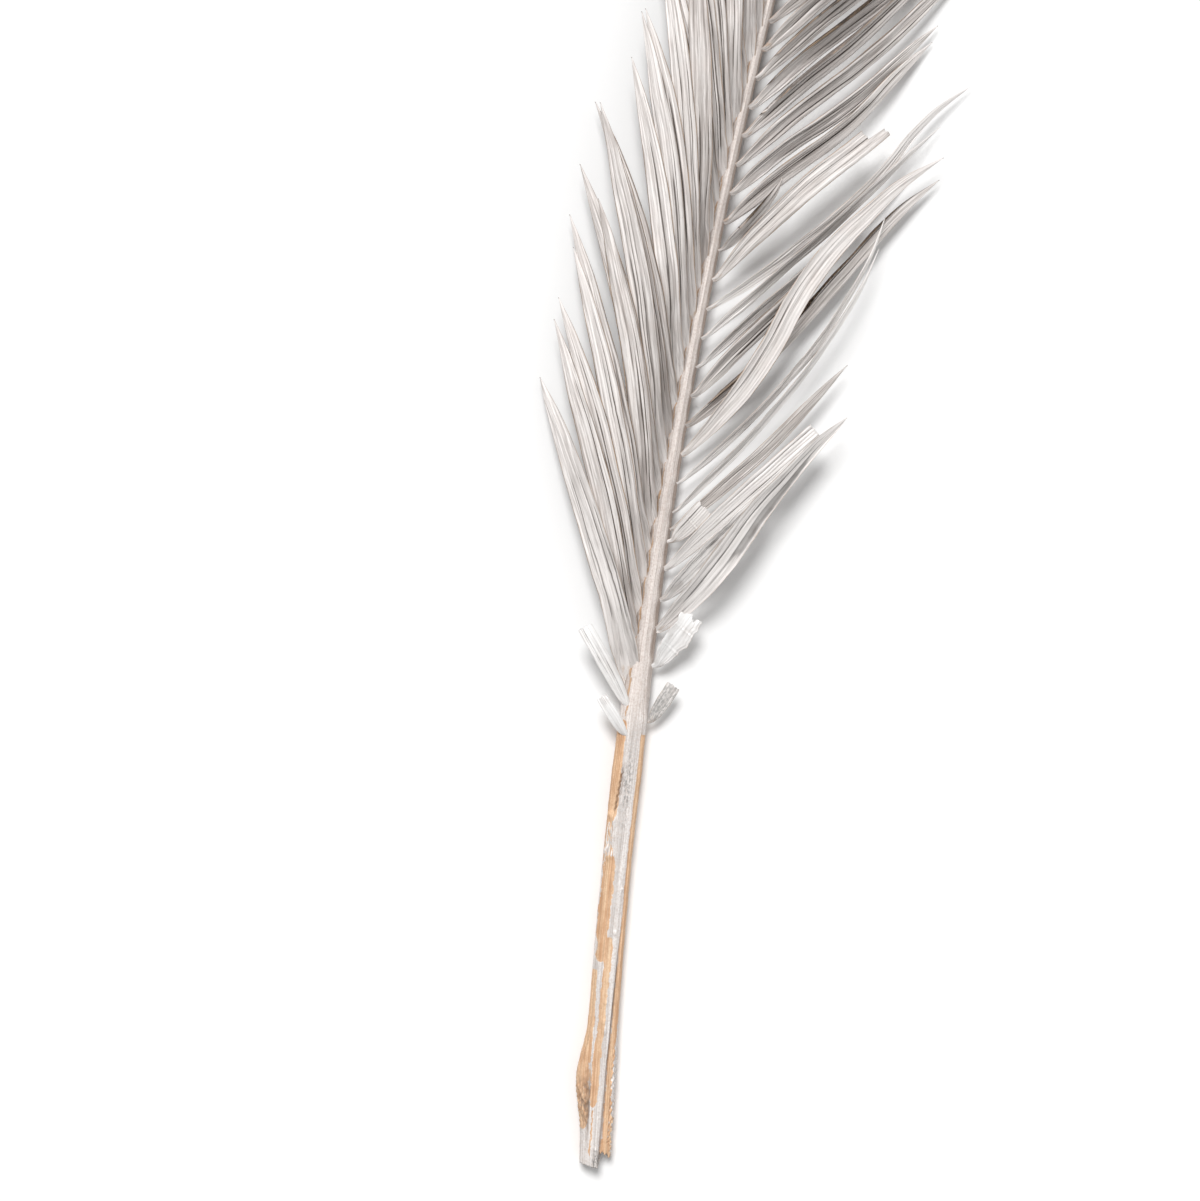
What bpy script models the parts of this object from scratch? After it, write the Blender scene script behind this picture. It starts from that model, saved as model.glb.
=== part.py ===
"""A dried, silver-painted date palm frond lying face up on a flat surface.

Run with: blender --background --python part.py, or from Blender's text editor.

The frame: metres, +Y from the cut end towards the tip, +X to the frond's right, +Z up, and the origin
under the middle of the frond, on the surface that it lies on.
The pieces: one stalk, 28 leaflets down each side of it, each a node of its own, the crowded small
leaflets near the tip, which grow from one shared strip on each side, and the leaflet at the very tip.
"""

import math
import random

import bmesh
import bpy
import numpy as np

MM = 0.001
RIGHT = 1
LEFT = -1
SIDES = ((LEFT, "left"), (RIGHT, "right"))
UP = np.array((0.0, 0.0, 1.0))

# The stalk, cut end to point. Seen from above it bows to one side by a shallow parabola.
STALK_LENGTH = 620 * MM
STALK_BOW = 22.8 * MM
CUT_SLANT = 1.6 * MM

# Where the leaflets stand along the stalk.
LEAFLETS_A_SIDE = 28
FIRST_LEAFLET = {RIGHT: 164 * MM, LEFT: 157 * MM}
LEAFLET_PITCH = 10.6 * MM
TIP_LEAFLETS_A_SIDE = 19
TIP_PITCH_FIRST = 10.2 * MM
TIP_PITCH_LAST = 5.4 * MM
TIP_STRIP_END = 615 * MM

# One leaflet.
LEAFLET_WIDTH = 9.6 * MM
KEEL_THICKNESS = 0.8 * MM
LEAFLET_SECTIONS = 10
TERMINAL_LENGTH = 46 * MM
SEED = 41

# Gaps between neighbours.
PIECE_GAP = 0.3 * MM
ROOT_GAP = 0.9 * MM

# The height map that the leaflets are laid on.
CELL = 0.4 * MM
MAP_CORNER = (-150 * MM, -20 * MM)
MAP_CELLS = (700, 1900)
LAYING_GAP = 0.35 * MM
STEEPEST_LIFT = 0.45
LIFT_FALL = 0.12

SILVER = (0.62, 0.60, 0.58, 1.0)
STALK_SILVER = (0.60, 0.56, 0.53, 1.0)

# Profiles along the stalk: (distance from the cut end, value) pairs, in mm, joined by straight lines.
HALF_WIDTH = ((0, 5.4), (20, 5.6), (60, 5.3), (100, 5.1), (140, 5.3), (165, 4.8), (205, 4.0), (260, 3.4),
              (340, 2.7), (430, 2.1), (530, 1.4), (620, 0.7))
HALF_HEIGHT = ((0, 4.0), (100, 4.3), (140, 4.2), (165, 3.9), (205, 3.5), (260, 3.0), (340, 2.5),
               (430, 2.0), (530, 1.4), (620, 0.7))
UNDERSIDE = ((0, 0.0), (110, 0.0), (180, 1.6), (280, 5.4), (380, 8.0), (460, 8.4), (550, 6.6), (620, 4.4))
NATURAL_LENGTH = {
    RIGHT: ((160, 96), (200, 104), (250, 116), (340, 118), (430, 112), (500, 100), (560, 80), (620, 46)),
    LEFT: ((157, 104), (200, 118), (250, 124), (340, 124), (430, 118), (500, 104), (560, 82), (620, 46)),
}
SPREAD = ((0, 1.0), (420, 1.0), (520, 0.82), (620, 0.40))
STALK_STATIONS = (0, 6, 20, 50, 85, 120, 140, 155, 170, 190, 215, 240, 270, 300, 330, 360, 390, 420, 450,
                  480, 510, 535, 560, 580, 600, 612, 620)

# The stalk's cross-section, in half widths and half heights: a rounded ridge on top, flanks that the
# leaflets spring from, and a flat keel underneath.
STALK_SECTION = ((-0.34, 1.0), (0.34, 1.0), (0.72, 0.62), (1.0, 0.0), (0.80, -0.66), (0.36, -1.0),
                 (-0.36, -1.0), (-0.80, -0.66), (-1.0, 0.0), (-0.72, 0.62))

# A leaflet leans away from the stalk by these angles, in degrees, at its root, at one third and two
# thirds of its length, and at its point. Its blade is tilted, the edge nearer the frond's tip up, and
# folded along its keel. Between root and point it bows up by its rise.
LEAN = {RIGHT: (35, 41, 34, 36), LEFT: (13, 18, 23, 27)}
TILT = {RIGHT: (36, 54, 50, 34), LEFT: (34, 31, 28, 26)}
FOLD = {RIGHT: (30, 22, 18, 12), LEFT: (26, 16, 14, 10)}
RISE = {RIGHT: 6.0, LEFT: 3.0}
TIP_HEIGHT = {RIGHT: 0.6, LEFT: 1.0}
BLADE_OUTLINE = ((0.0, 0.34), (0.06, 0.62), (0.16, 0.88), (0.34, 1.0), (0.55, 0.95), (0.72, 0.78),
                 (0.86, 0.50), (0.95, 0.24), (1.0, 0.05))
CUT_OUTLINE_SHARE = 0.62

# Leaflets that differ from the rule, by their number from the cut end. Lengths, heights and shifts along
# the stalk are in mm. A cut one keeps its width to its end.
OWN_FORM = {
    RIGHT: {
        1: dict(length=16, cut=True, lean=(24, 26, 28, 28), tilt=(30, 28, 26, 24), rise=1, tip=9, width=0.66,
                shift=-3),
        2: dict(length=23, cut=True, lean=(28, 30, 31, 32), tilt=(24, 20, 16, 14), rise=2, tip=10, width=1.0,
                shift=7),
        3: dict(length=100, lean=(36, 27, 35, 44), tilt=(20, 26, 46, 40), rise=4, tip=2, width=1.25,
                shift=10),
        4: dict(length=52, lean=(36, 36, 34, 30), tilt=(26, 24, 24, 24), rise=2, tip=8, width=0.9, shift=10),
        5: dict(length=76, cut=True, lean=(38, 39, 41, 38), tilt=(26, 18, 16, 16), rise=6, tip=16, width=0.92,
                shift=11),
        6: dict(length=17, cut=True, lean=(35, 36, 36, 36), tilt=(24, 20, 18, 16), rise=1, tip=11, width=0.78,
                shift=10),
        7: dict(length=85, lean=(42, 39, 35, 36), tilt=(34, 28, 26, 24), rise=3, tip=8, width=0.62, shift=4),
        8: dict(length=118, lean=(36, 33, 25, 13), tilt=(40, 58, 58, 46), width=0.82),
        9: dict(length=121, lean=(40, 33, 23, 7), tilt=(40, 58, 58, 46), width=0.82),
        10: dict(length=141, lean=(34, 19, 35, 53), tilt=(30, 22, 24, 30), rise=5, tip=9, width=1.0),
        11: dict(length=125, lean=(40, 33, 32, 46), tilt=(40, 54, 46, 22), tip=4),
        12: dict(length=94),
        13: dict(length=102, lean=(36, 38, 38, 40), tilt=(40, 58, 58, 50)),
        14: dict(length=113, lean=(38, 38, 36, 38), tilt=(40, 58, 58, 50)),
        15: dict(length=123, lean=(46, 40, 28, 49), tilt=(40, 52, 44, 36), tip=3),
        16: dict(length=84, cut=True, lean=(30, 37, 40, 40), tilt=(30, 20, 18, 16), rise=6, tip=15,
                 width=0.9),
        17: dict(length=33, lean=(34, 34, 26, 12), tilt=(44, 58, 56, 50), width=0.7),
        18: dict(length=98, lean=(36, 42, 32, 36)),
        19: dict(length=95, lean=(35, 45, 34, 38), tip=3),
    },
    LEFT: {
        1: dict(length=17, cut=True, lean=(38, 38, 40, 40), tilt=(20, 20, 20, 20), rise=2, tip=10, width=0.52,
                shift=-2),
        2: dict(length=33, cut=True, lean=(33, 35, 37, 37), tilt=(24, 24, 24, 24), rise=3, tip=13, width=0.68,
                shift=-2),
        3: dict(length=110, lean=(17, 25, 27, 29), width=1.2),
        4: dict(length=118, lean=(15, 20, 24, 26), width=1.05),
        6: dict(length=122, lean=(13, 19, 22, 25)),
    },
}


def clear_scene():
    for thing in list(bpy.data.objects):
        bpy.data.objects.remove(thing, do_unlink=True)


def along(profile, at):
    """The profile's value at this place, on the straight line between its neighbouring pairs."""
    places, values = zip(*profile)
    return float(np.interp(at, places, values))


def eased(values, share):
    """The value at this share of the way through evenly spaced values, eased from each to the next."""
    place = min(max(share, 0.0), 1.0) * (len(values) - 1)
    i = min(int(place), len(values) - 2)
    step = place - i
    return values[i] + (values[i + 1] - values[i]) * step * step * (3 - 2 * step)


def stalk_point(s):
    """The middle of the stalk, this far from its cut end."""
    t = s / STALK_LENGTH
    z = (along(UNDERSIDE, s / MM) + along(HALF_HEIGHT, s / MM)) * MM
    return np.array((-4 * STALK_BOW * t * (1 - t), s, z))


def stalk_heading(s):
    """The stalk's direction seen from above, as an angle from +Y towards +X."""
    return math.atan(-4 * STALK_BOW / STALK_LENGTH * (1 - 2 * s / STALK_LENGTH))


def stalk_right(s):
    """The direction square to the stalk, level, to the frond's right."""
    heading = stalk_heading(s)
    return np.array((math.cos(heading), -math.sin(heading), 0.0))


def stalk_section(s):
    """The points of the stalk's cross-section, square to its line."""
    half_width = along(HALF_WIDTH, s / MM) * MM
    half_height = along(HALF_HEIGHT, s / MM) * MM
    middle = stalk_point(s)
    right = stalk_right(s)
    return [middle + right * (x * half_width) + UP * (z * half_height) for x, z in STALK_SECTION]


def leaflet_places(side):
    """Where each leaflet of one side stands along the stalk: evenly, then closing up towards the tip."""
    places = [FIRST_LEAFLET[side] + i * LEAFLET_PITCH for i in range(LEAFLETS_A_SIDE)]
    for pitch in np.linspace(TIP_PITCH_FIRST, TIP_PITCH_LAST, TIP_LEAFLETS_A_SIDE):
        places.append(places[-1] + float(pitch))
    return places


def leaflet_form(side, number, s, draw):
    """The form of one leaflet: the rule's values, a little seeded variation, then what it has of its own."""
    spread = along(SPREAD, s / MM)
    lean_off = draw.gauss(0, 2.2)
    curl_off = draw.gauss(0, 2.5)
    form = {
        "length": along(NATURAL_LENGTH[side], s / MM) * draw.uniform(0.90, 1.06),
        "lean": [(angle + lean_off + curl_off * i / 3) * spread for i, angle in enumerate(LEAN[side])],
        "tilt": [angle + draw.uniform(-3, 3) for angle in TILT[side]],
        "fold": list(FOLD[side]),
        "rise": RISE[side] + draw.uniform(-1, 1),
        "tip": TIP_HEIGHT[side],
        "width": draw.uniform(0.92, 1.04) * (0.5 + 0.5 * spread),
        "cut": False,
        "shift": 0.0,
    }
    form.update(OWN_FORM[side].get(number, {}))
    return form


def leaflet_sections(side, s, form):
    """The cross-sections of one leaflet, root to point: at each, a folded blade's near edge (the one
    towards the cut end), its keel, its far edge and the inner crease above the keel."""
    s = s + form["shift"] * MM
    heading = stalk_heading(s)
    root = stalk_point(s) + stalk_right(s) * side * (along(HALF_WIDTH, s / MM) * MM + ROOT_GAP)
    step = form["length"] * MM / (LEAFLET_SECTIONS - 1)
    x, y, root_height = root
    sections = []
    for u in np.linspace(0, 1, LEAFLET_SECTIONS):
        angle = heading + side * math.radians(eased(form["lean"], u))
        tilt = math.radians(eased(form["tilt"], u))
        fold = math.radians(eased(form["fold"], u))
        across = np.array((-math.cos(angle), math.sin(angle), 0.0)) * side
        half = LEAFLET_WIDTH / 2 * form["width"]
        half *= along(BLADE_OUTLINE, u * CUT_OUTLINE_SHARE if form["cut"] else u)
        height = root_height + (form["tip"] * MM - root_height) * u + form["rise"] * MM * 4 * u * (1 - u)
        keel = np.array((x, y, height))
        near = keel - (across * math.cos(tilt - fold) + UP * math.sin(tilt - fold)) * half
        far = keel + (across * math.cos(tilt + fold) + UP * math.sin(tilt + fold)) * half
        thickness = KEEL_THICKNESS * min(1.0, 0.35 + half / (LEAFLET_WIDTH / 4))
        crease = keel + (UP * math.cos(tilt) - across * math.sin(tilt)) * thickness
        sections.append((near, keel, far, crease))
        x += math.sin(angle) * step
        y += math.cos(angle) * step
    return np.array(sections)


def sheet_points(sections, edge, middle, other_edge, finer):
    """A grid of points on the sheet from one edge over a middle line to the other edge, evenly spread
    between the sections: one row for each place along the leaflet."""
    rows = np.linspace(0, len(sections) - 1, (len(sections) - 1) * finer + 1)
    before = np.minimum(rows.astype(int), len(sections) - 2)
    share = (rows - before)[:, None, None]
    rings = sections[before] * (1 - share) + sections[before + 1] * share
    across = np.linspace(0, 1, 17)[None, :, None]
    first = rings[:, None, edge] * (1 - across) + rings[:, None, middle] * across
    second = rings[:, None, middle] * (1 - across) + rings[:, None, other_edge] * across
    return rows, np.concatenate((first, second), axis=1)


def map_cells(points):
    i = ((points[..., 0] - MAP_CORNER[0]) / CELL).astype(int)
    j = ((points[..., 1] - MAP_CORNER[1]) / CELL).astype(int)
    return i, j


def lay(sections, heights):
    """Raise a leaflet wherever it would sink into the leaflets already laid, or into the surface, and
    then add its own top to the height map. The lift spreads along it and is nothing at its root."""
    rows, under = sheet_points(sections, 0, 1, 2, 12)
    need = (heights[map_cells(under)] + LAYING_GAP - under[..., 2]).max(axis=1)
    length = np.linalg.norm(np.diff(sections[:, 1, :2], axis=0), axis=1).sum()
    spacing = length / (len(sections) - 1)
    places = np.arange(len(sections))
    apart = np.abs(places[:, None] - rows[None, :])
    lift = (need[None, :] - np.maximum(apart - 1.0, 0.0) * spacing * LIFT_FALL).max(axis=1)
    lift = np.clip(lift, 0.0, places * spacing * STEEPEST_LIFT)
    laid = sections.copy()
    laid[..., 2] += lift[:, None]
    _, top = sheet_points(laid, 0, 3, 2, 48)
    np.maximum.at(heights, map_cells(top), top[..., 2])
    return laid


def loft(name, sections, material, collection):
    """A closed solid through the sections, which all have the same number of points."""
    bm = bmesh.new()
    rings = [[bm.verts.new(p) for p in section] for section in sections]
    count = len(rings[0])
    for ring, following in zip(rings, rings[1:]):
        for i in range(count):
            j = (i + 1) % count
            bm.faces.new((ring[i], ring[j], following[j], following[i]))
    bm.faces.new(rings[0][::-1])
    bm.faces.new(rings[-1])
    bmesh.ops.triangulate(bm, faces=bm.faces[:])
    bmesh.ops.recalc_face_normals(bm, faces=bm.faces[:])
    mesh = bpy.data.meshes.new(name)
    bm.to_mesh(mesh)
    bm.free()
    mesh.materials.append(material)
    thing = bpy.data.objects.new(name, mesh)
    collection.objects.link(thing)
    return thing


def painted(name, colour):
    material = bpy.data.materials.new(name)
    material.use_nodes = True
    shader = material.node_tree.nodes["Principled BSDF"]
    shader.inputs["Base Color"].default_value = colour
    shader.inputs["Roughness"].default_value = 0.5
    shader.inputs["Metallic"].default_value = 0.25
    return material


def new_collection(name):
    collection = bpy.data.collections.new(name)
    bpy.context.scene.collection.children.link(collection)
    return collection


def build_stalk(material, collection):
    """The whole stalk. Its cut end is a little slanted: the right flank reaches further back."""
    sections = [stalk_section(s * MM) for s in STALK_STATIONS]
    half_width = along(HALF_WIDTH, 0) * MM
    for point in sections[0]:
        point[1] -= CUT_SLANT * point[0] / half_width
    return loft("stalk", sections, material, collection)


def stand_on_origin(pieces, helpers, plan):
    """Put the whole frond's middle over the origin, by one empty that carries every piece."""
    ends = [stalk_section(0), stalk_section(STALK_LENGTH)]
    points = np.concatenate([sections.reshape(-1, 3) for sections in [np.array(ends), *plan.values()]])
    middle = (points.min(axis=0) + points.max(axis=0)) / 2
    place = bpy.data.objects.new("frond_place", None)
    bpy.context.scene.collection.objects.link(place)
    place.location = (-middle[0], -middle[1], 0.0)
    for thing in [*pieces, *helpers.objects]:
        thing.parent = place


def strip_section(side, s):
    """The cross-section of the strip that the tip leaflets share, along the stalk's flank."""
    half = 0.45 * MM + 0.25 * along(HALF_HEIGHT, s / MM) * MM
    inner = stalk_point(s) + stalk_right(s) * side * (along(HALF_WIDTH, s / MM) * MM + PIECE_GAP)
    outer = inner + stalk_right(s) * side * (2 * (ROOT_GAP - PIECE_GAP))
    return [inner - UP * half, outer - UP * half, outer + UP * half, inner + UP * half]


def build_tip_leaflets(side, word, plan, material, collection, helpers):
    """The crowded small leaflets of one side near the tip, joined by the strip that they grow from."""
    strip_from = leaflet_places(side)[LEAFLETS_A_SIDE] - 2.5 * MM
    sections = [strip_section(side, s) for s in np.linspace(strip_from, TIP_STRIP_END, 12)]
    tip = loft(f"tip_leaflets_{word}", sections, material, collection)
    for number in range(LEAFLETS_A_SIDE + 1, LEAFLETS_A_SIDE + TIP_LEAFLETS_A_SIDE + 1):
        blade = loft(f"tip_blade_{word}_{number}", plan[side, number], material, helpers)
        blade.hide_render = True
        blade.display_type = "WIRE"
        join = tip.modifiers.new(f"join_{number}", "BOOLEAN")
        join.operation = "UNION"
        join.solver = "EXACT"
        join.object = blade
    return tip


def terminal_sections():
    """The last leaflet, in line with the stalk's end: a small folded blade, level, its keel down."""
    root = stalk_point(STALK_LENGTH)
    ahead = np.array((math.sin(stalk_heading(STALK_LENGTH)), math.cos(stalk_heading(STALK_LENGTH)), 0.0))
    right = stalk_right(STALK_LENGTH)
    sections = []
    for u in np.linspace(0, 1, LEAFLET_SECTIONS):
        keel = root + ahead * (PIECE_GAP + TERMINAL_LENGTH * u) - UP * (root[2] - 1.5 * MM) * u * u
        half = LEAFLET_WIDTH / 4 * along(BLADE_OUTLINE, u)
        sections.append((keel - right * half + UP * 0.3 * half, keel, keel + right * half + UP * 0.3 * half,
                         keel + UP * KEEL_THICKNESS * 0.8))
    return np.array(sections)


def lay_leaflets():
    """Every leaflet's sections, by side and number. They are laid from the frond's tip to its cut end, so
    that each lies over the one beyond it."""
    draw = random.Random(SEED)
    heights = np.zeros(MAP_CELLS)
    plan = {("tip", 0): lay(terminal_sections(), heights)}
    for side, _ in SIDES:
        places = leaflet_places(side)
        for number in range(len(places), 0, -1):
            s = places[number - 1]
            form = leaflet_form(side, number, s, draw)
            plan[side, number] = lay(leaflet_sections(side, s, form), heights)
    return plan


def build_frond():
    clear_scene()
    frond = new_collection("date_palm_frond")
    helpers = new_collection("joined_to_tip_strips")
    leaflet_paint = painted("leaflet_silver", SILVER)
    stalk_paint = painted("stalk_silver", STALK_SILVER)
    plan = lay_leaflets()
    pieces = [build_stalk(stalk_paint, frond)]
    for side, word in SIDES:
        for number in range(1, LEAFLETS_A_SIDE + 1):
            pieces.append(loft(f"leaflet_{word}_{number:02d}", plan[side, number], leaflet_paint, frond))
        pieces.append(build_tip_leaflets(side, word, plan, leaflet_paint, frond, helpers))
    pieces.append(loft("leaflet_terminal", plan["tip", 0], leaflet_paint, frond))
    stand_on_origin(pieces, helpers, plan)


build_frond()
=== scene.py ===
"""The finish of a dried, silver-painted date palm frond that lies face up on a pale surface.

The layout of the stalk and of every leaflet is worked out first, by the same rules as the frame's own, and
each single leaflet's is checked against its frame box. Each fine blade then runs through its own sections of
that layout, except that OWN_FINISH moves three of them over the stalk and narrows five.
"""

import math
import random

import bpy
import numpy as np
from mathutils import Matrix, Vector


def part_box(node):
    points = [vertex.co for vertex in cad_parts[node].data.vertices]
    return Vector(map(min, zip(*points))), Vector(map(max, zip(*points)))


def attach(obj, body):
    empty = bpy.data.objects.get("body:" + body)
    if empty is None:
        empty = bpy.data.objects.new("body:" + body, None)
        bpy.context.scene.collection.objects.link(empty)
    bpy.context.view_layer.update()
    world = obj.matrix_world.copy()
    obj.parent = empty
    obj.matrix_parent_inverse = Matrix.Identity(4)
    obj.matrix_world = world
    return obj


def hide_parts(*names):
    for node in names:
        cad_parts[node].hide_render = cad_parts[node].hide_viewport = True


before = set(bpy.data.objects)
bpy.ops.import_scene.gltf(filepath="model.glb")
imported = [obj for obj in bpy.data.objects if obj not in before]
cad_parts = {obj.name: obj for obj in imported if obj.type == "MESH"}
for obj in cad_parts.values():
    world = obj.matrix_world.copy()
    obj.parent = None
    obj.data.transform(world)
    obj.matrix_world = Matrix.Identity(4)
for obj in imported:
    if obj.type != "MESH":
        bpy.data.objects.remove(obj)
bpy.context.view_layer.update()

MM = 0.001
RIGHT = 1
LEFT = -1
TIP = 0
SIDES = ((LEFT, "left"), (RIGHT, "right"))
UP = np.array((0.0, 0.0, 1.0))

# ---- The frame's layout: the stalk, and where each leaflet stands, leans, tilts and lies.

STALK_LENGTH = 620 * MM
STALK_BOW = 22.8 * MM
LEAFLETS_A_SIDE = 28
FIRST_LEAFLET = {RIGHT: 164 * MM, LEFT: 157 * MM}
LEAFLET_PITCH = 10.6 * MM
TIP_LEAFLETS_A_SIDE = 19
TIP_PITCH_FIRST = 10.2 * MM
TIP_PITCH_LAST = 5.4 * MM
LEAFLET_WIDTH = 9.6 * MM
KEEL_THICKNESS = 0.8 * MM
LEAFLET_SECTIONS = 10
TERMINAL_LENGTH = 46 * MM
SEED = 41
PIECE_GAP = 0.3 * MM
ROOT_GAP = 0.9 * MM
CELL = 0.4 * MM
MAP_CORNER = (-150 * MM, -20 * MM)
MAP_CELLS = (700, 1900)
LAYING_GAP = 0.35 * MM
STEEPEST_LIFT = 0.45
LIFT_FALL = 0.12
LAYOUT_TOLERANCE = 0.5 * MM
SHEET_STEPS = 17
UNDER_FINER = 12
TOP_FINER = 48
LEAN_SCATTER = 2.2
CURL_SCATTER = 2.5
TILT_SCATTER = 3
RISE_SCATTER = 1
LENGTH_SCATTER = (0.90, 1.06)
WIDTH_SCATTER = (0.92, 1.04)

# Each profile: pairs of a place along the stalk in mm and a value there, in mm, degrees or shares.
HALF_WIDTH = ((0, 5.4), (20, 5.6), (60, 5.3), (100, 5.1), (140, 5.3), (165, 4.8), (205, 4.0), (260, 3.4),
              (340, 2.7), (430, 2.1), (530, 1.4), (620, 0.7))
HALF_HEIGHT = ((0, 4.0), (100, 4.3), (140, 4.2), (165, 3.9), (205, 3.5), (260, 3.0), (340, 2.5),
               (430, 2.0), (530, 1.4), (620, 0.7))
UNDERSIDE = ((0, 0.0), (110, 0.0), (180, 1.6), (280, 5.4), (380, 8.0), (460, 8.4), (550, 6.6), (620, 4.4))
NATURAL_LENGTH = {
    RIGHT: ((160, 96), (200, 104), (250, 116), (340, 118), (430, 112), (500, 100), (560, 80), (620, 46)),
    LEFT: ((157, 104), (200, 118), (250, 124), (340, 124), (430, 118), (500, 104), (560, 82), (620, 46)),
}
SPREAD = ((0, 1.0), (420, 1.0), (520, 0.82), (620, 0.40))
# A leaflet's angles in degrees, root to point; its heights in mm; its half width along it, in shares.
LEAN = {RIGHT: (35, 41, 34, 36), LEFT: (13, 18, 23, 27)}
TILT = {RIGHT: (36, 54, 50, 34), LEFT: (34, 31, 28, 26)}
FOLD = {RIGHT: (30, 22, 18, 12), LEFT: (26, 16, 14, 10)}
RISE = {RIGHT: 6.0, LEFT: 3.0}
TIP_HEIGHT = {RIGHT: 0.6, LEFT: 1.0}
BLADE_OUTLINE = ((0.0, 0.34), (0.06, 0.62), (0.16, 0.88), (0.34, 1.0), (0.55, 0.95), (0.72, 0.78),
                 (0.86, 0.50), (0.95, 0.24), (1.0, 0.05))
CUT_OUTLINE_SHARE = 0.62

# What single leaflets have of their own: length, rise, tip and shift in mm, lean and tilt in degrees from
# root to point, width as a share of the usual.
OWN_FORM = {
    RIGHT: {
        1: dict(length=16, cut=True, lean=(24, 26, 28, 28), tilt=(30, 28, 26, 24), rise=1, tip=9,
                width=0.66, shift=-3),
        2: dict(length=23, cut=True, lean=(28, 30, 31, 32), tilt=(24, 20, 16, 14), rise=2, tip=10,
                width=1.0, shift=7),
        3: dict(length=100, lean=(36, 27, 35, 44), tilt=(20, 26, 46, 40), rise=4, tip=2,
                width=1.25, shift=10),
        4: dict(length=52, lean=(36, 36, 34, 30), tilt=(26, 24, 24, 24), rise=2, tip=8, width=0.9, shift=10),
        5: dict(length=76, cut=True, lean=(38, 39, 41, 38), tilt=(26, 18, 16, 16), rise=6, tip=16,
                width=0.92, shift=11),
        6: dict(length=17, cut=True, lean=(35, 36, 36, 36), tilt=(24, 20, 18, 16), rise=1, tip=11,
                width=0.78, shift=10),
        7: dict(length=85, lean=(42, 39, 35, 36), tilt=(34, 28, 26, 24), rise=3, tip=8, width=0.62, shift=4),
        8: dict(length=118, lean=(36, 33, 25, 13), tilt=(40, 58, 58, 46), width=0.82),
        9: dict(length=121, lean=(40, 33, 23, 7), tilt=(40, 58, 58, 46), width=0.82),
        10: dict(length=141, lean=(34, 19, 35, 53), tilt=(30, 22, 24, 30), rise=5, tip=9, width=1.0),
        11: dict(length=125, lean=(40, 33, 32, 46), tilt=(40, 54, 46, 22), tip=4),
        12: dict(length=94),
        13: dict(length=102, lean=(36, 38, 38, 40), tilt=(40, 58, 58, 50)),
        14: dict(length=113, lean=(38, 38, 36, 38), tilt=(40, 58, 58, 50)),
        15: dict(length=123, lean=(46, 40, 28, 49), tilt=(40, 52, 44, 36), tip=3),
        16: dict(length=84, cut=True, lean=(30, 37, 40, 40), tilt=(30, 20, 18, 16), rise=6, tip=15,
                 width=0.9),
        17: dict(length=33, lean=(34, 34, 26, 12), tilt=(44, 58, 56, 50), width=0.7),
        18: dict(length=98, lean=(36, 42, 32, 36)),
        19: dict(length=95, lean=(35, 45, 34, 38), tip=3),
    },
    LEFT: {
        1: dict(length=17, cut=True, lean=(38, 38, 40, 40), tilt=(20, 20, 20, 20), rise=2, tip=10,
                width=0.52, shift=-2),
        2: dict(length=33, cut=True, lean=(33, 35, 37, 37), tilt=(24, 24, 24, 24), rise=3, tip=13,
                width=0.68, shift=-2),
        3: dict(length=110, lean=(17, 25, 27, 29), width=1.2),
        4: dict(length=118, lean=(15, 20, 24, 26), width=1.05),
        6: dict(length=122, lean=(13, 19, 22, 25)),
    },
}


def along(profile, at):
    """The profile's value at each place, on the straight line between its neighbouring pairs."""
    places, values = zip(*profile)
    return np.interp(at, places, values)


def eased(values, share):
    """Values evenly spaced from 0 to 1, eased from each to the next."""
    values = np.asarray(values, float)
    place = np.clip(share, 0.0, 1.0) * (len(values) - 1)
    i = np.minimum(place.astype(int), len(values) - 2)
    step = place - i
    return values[i] + (values[i + 1] - values[i]) * step * step * (3 - 2 * step)


def stalk_heading(s):
    """The stalk's direction seen from above, as an angle from +Y towards +X."""
    return np.arctan(-4 * STALK_BOW / STALK_LENGTH * (1 - 2 * s / STALK_LENGTH))


def stalk_right(s):
    """The direction square to the stalk, level, to the frond's right."""
    heading = stalk_heading(s)
    return np.stack((np.cos(heading), -np.sin(heading), np.zeros_like(heading)), axis=-1)


def stalk_ahead(s):
    """The stalk's own direction, level."""
    heading = stalk_heading(s)
    return np.stack((np.sin(heading), np.cos(heading), np.zeros_like(heading)), axis=-1)


def stalk_point(s):
    """The middle of the stalk this far from its cut end, still measured from the cut end."""
    t = s / STALK_LENGTH
    z = (along(UNDERSIDE, s / MM) + along(HALF_HEIGHT, s / MM)) * MM
    return np.stack((-4 * STALK_BOW * t * (1 - t), s + 0 * t, z), axis=-1)


def leaflet_places(side):
    """Where each leaflet of one side stands along the stalk: evenly, then closing up towards the tip."""
    places = [FIRST_LEAFLET[side] + i * LEAFLET_PITCH for i in range(LEAFLETS_A_SIDE)]
    for pitch in np.linspace(TIP_PITCH_FIRST, TIP_PITCH_LAST, TIP_LEAFLETS_A_SIDE):
        places.append(places[-1] + float(pitch))
    return places


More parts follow.
